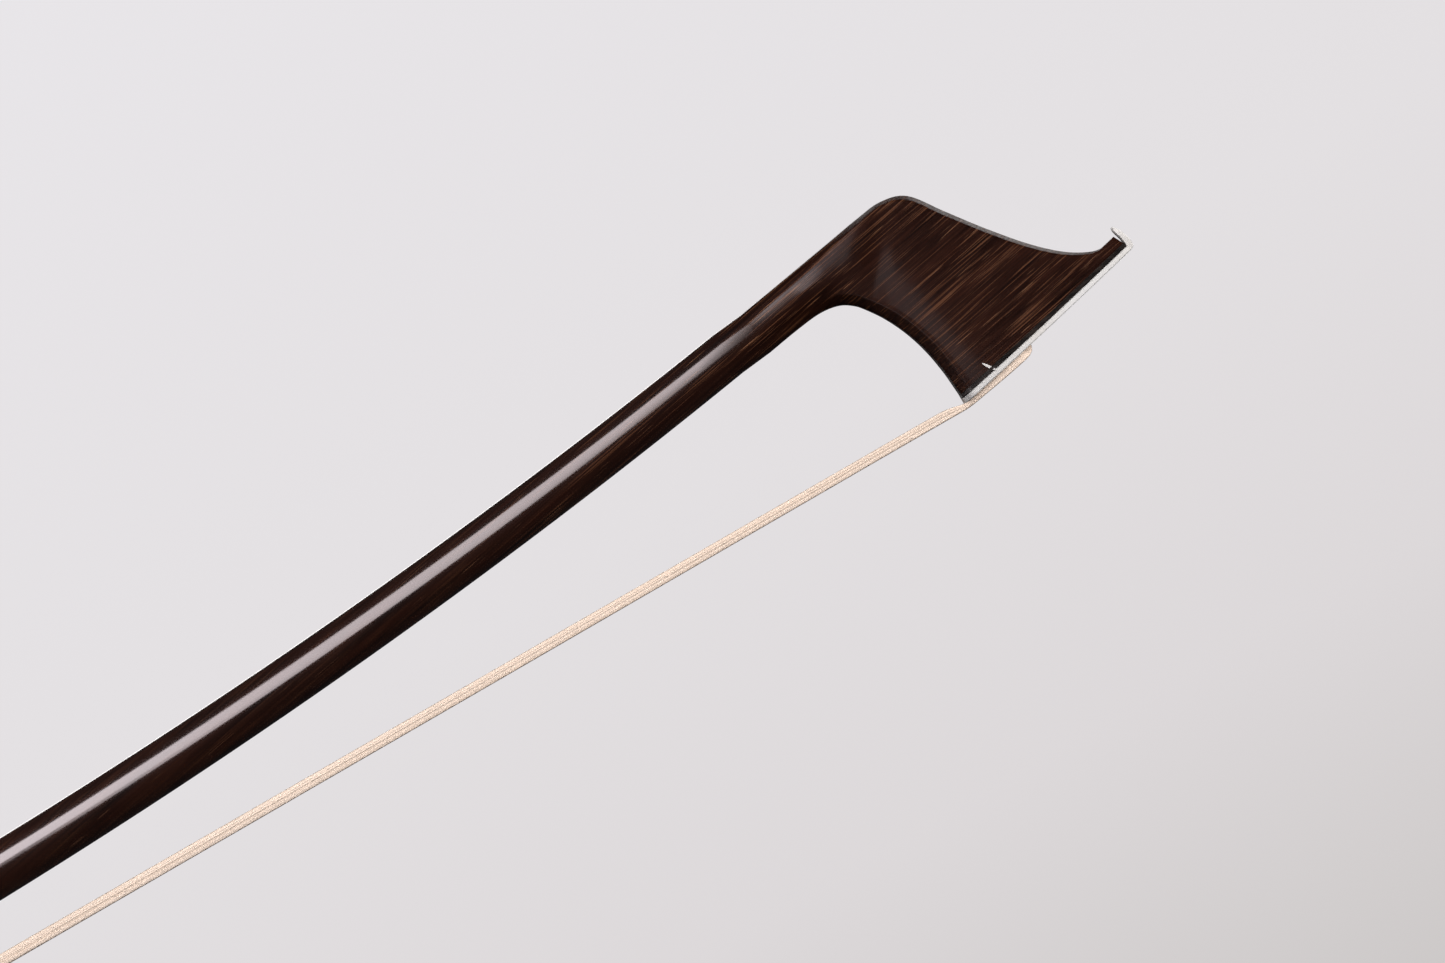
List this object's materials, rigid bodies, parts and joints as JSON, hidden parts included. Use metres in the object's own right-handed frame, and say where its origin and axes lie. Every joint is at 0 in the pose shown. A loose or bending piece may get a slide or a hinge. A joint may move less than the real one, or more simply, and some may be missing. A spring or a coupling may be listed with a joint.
{
  "type": "violin bow",
  "caption": "Violin bow with cambered dark wood stick, hatchet head with upturned beak, pale hair ribbon, and an ebony frog drawn along the stick by a turning end button.",
  "frame": {"origin": "on the resting plane, under the centre of the bow's bounding box", "axes": "+X along the hair from the frog to the head, +Z from the hair to the stick, Y across the bow"},
  "size_m": [0.743, 0.0132, 0.0279],
  "materials": {
    "pernambuco": "dark red-brown pernambuco, thin polish, open pores",
    "ebony": "black, fine grained, satin",
    "bone": "off-white bone, satin",
    "maple": "bare pale wood",
    "horsehair": "cream bleached horsehair, rosined",
    "thread": "waxed red thread",
    "leather": "dark goatskin grain",
    "winding_wire": "silver wire, closely wound",
    "silver": "polished silver, lightly worn",
    "pearl": "mother-of-pearl, iridescent",
    "brass": "turned brass",
    "steel": "threaded steel"
  },
  "bodies": {
    "stick": {"stick": "pernambuco", "head_liner": "ebony", "head_plate": "bone", "head_wedge": "maple", "hair_tip_knot": "horsehair", "tip_knot_binding": "thread", "hair_ribbon": "horsehair", "hair_head_end": "horsehair", "thumb_leather": "leather", "winding": "winding_wire"},
    "screw": {"screw_shaft": "steel", "button_front_ring": "silver", "button_core": "ebony", "button_rear_ring": "silver", "button_eye": "pearl"},
    "frog": {"frog_block": "ebony", "ferrule": "silver", "ferrule_wedge": "maple", "hair_frog_end": "horsehair", "hair_frog_knot": "horsehair", "frog_knot_binding": "thread", "frog_wedge": "maple", "pearl_slide": "pearl", "slide_backing": "ebony", "heel_plate": "silver", "heel_plate_pin_left": "silver", "heel_plate_pin_right": "silver", "back_plate": "silver", "back_plate_pin_left": "silver", "back_plate_pin_right": "silver", "underslide": "silver", "underslide_screw_rear": "silver", "underslide_screw_front": "silver", "eye_pearl_left": "pearl", "eye_pearl_right": "pearl", "eye_ring_left": "silver", "eye_ring_right": "silver", "eyelet": "brass"}
  },
  "joints": [
    {"name": "screw_turn", "type": "hinge", "parent": "stick", "child": "screw", "pos_m": [-0.35772, 0, 0.02309], "axis": [0.9992, 0, -0.0391], "range_deg": [0, 2110]},
    {"name": "frog_slide", "type": "slide", "parent": "stick", "child": "frog", "axis": [-0.9992, 0, 0.0391], "range_m": [0, 0.0041]}
  ],
  "couplings": [
    {"joint": "screw_turn", "follows": "frog_slide", "rad_per_m": 8976}
  ]
}
